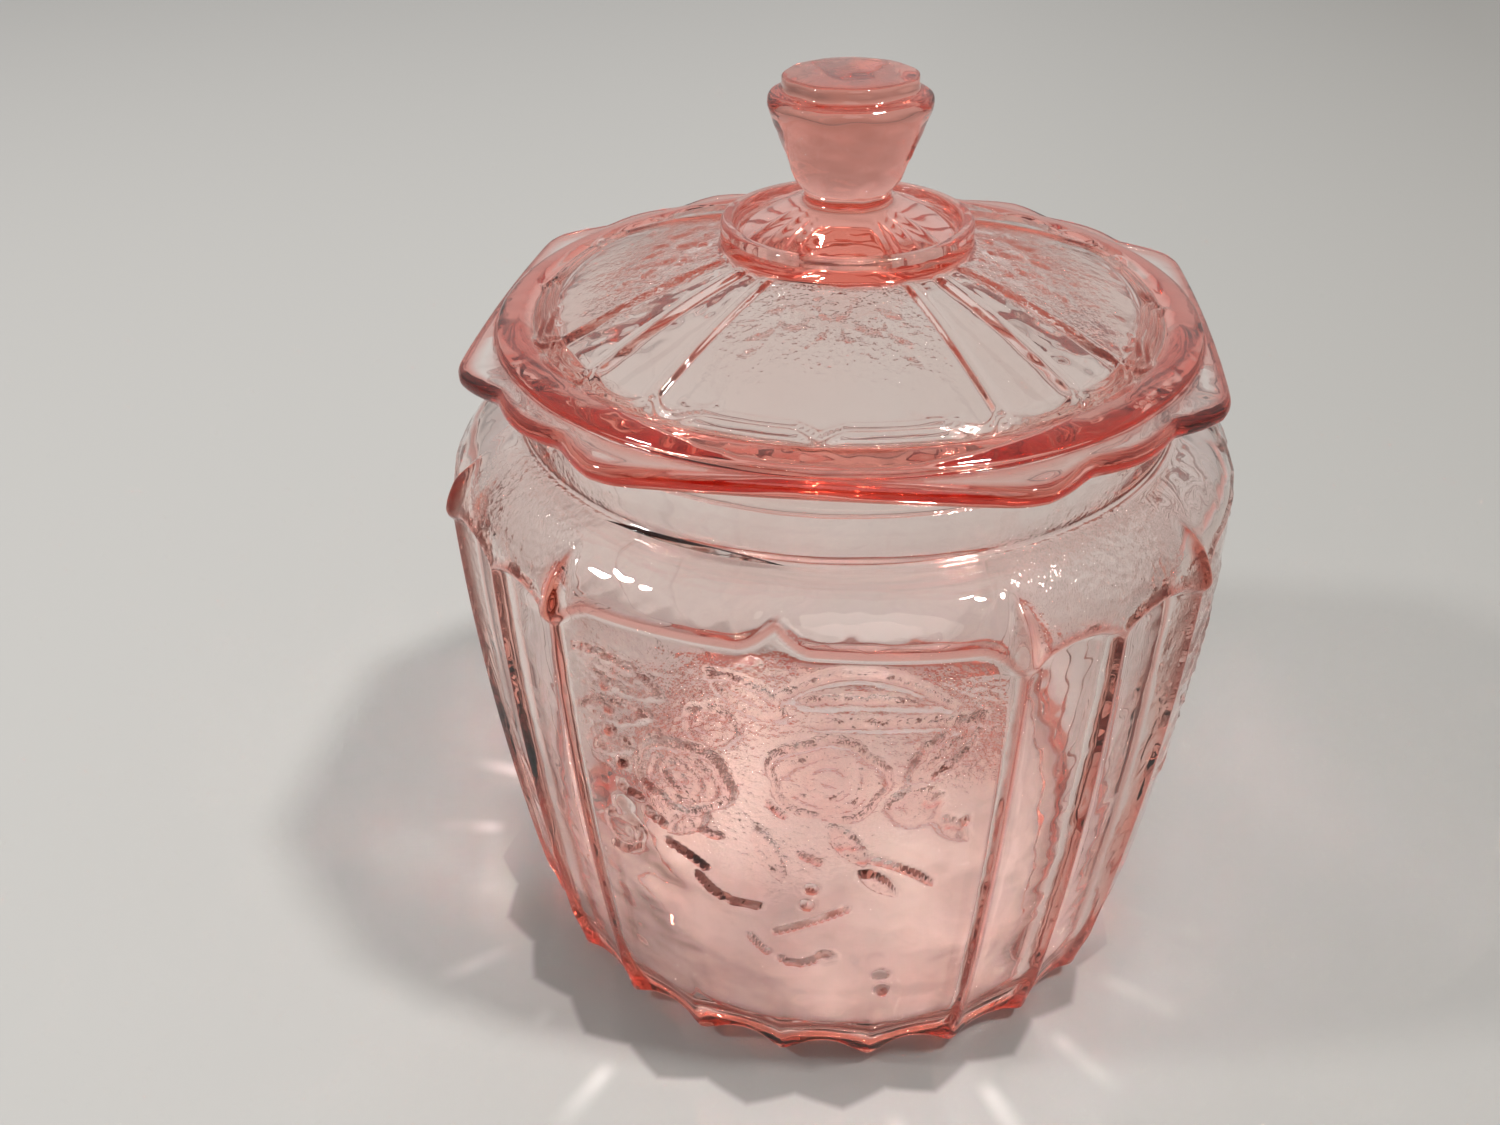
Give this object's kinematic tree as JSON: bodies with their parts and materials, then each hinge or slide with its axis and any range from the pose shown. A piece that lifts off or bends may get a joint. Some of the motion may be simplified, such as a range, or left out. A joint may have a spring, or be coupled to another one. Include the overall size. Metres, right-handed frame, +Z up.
{
  "type": "pressed glass covered jar",
  "caption": "Pink pressed-glass covered jar with floral panels, fluted corners, a scalloped heel and a loose domed lid with a solid knob.",
  "frame": {"origin": "centre of the jar's foot, on the surface it stands on", "axes": "+Z up the jar's axis towards the knob, -Y out of the middle of the front floral panel, +X out of the middle of the panel on its right"},
  "size_m": [0.156, 0.156, 0.19],
  "materials": {
    "jar_glass": "clear pink pressed glass, fire polished, stippled behind the relief",
    "lid_glass": "clear pink pressed glass, fire polished, stippled behind the relief"
  },
  "bodies": {
    "jar": {"jar": "jar_glass"},
    "lid": {"lid": "lid_glass"}
  },
  "joints": [
    {"name": "lid_lift", "type": "slide", "parent": "jar", "child": "lid", "axis": [0, 0, 1], "range_m": [0, 0.06]}
  ]
}
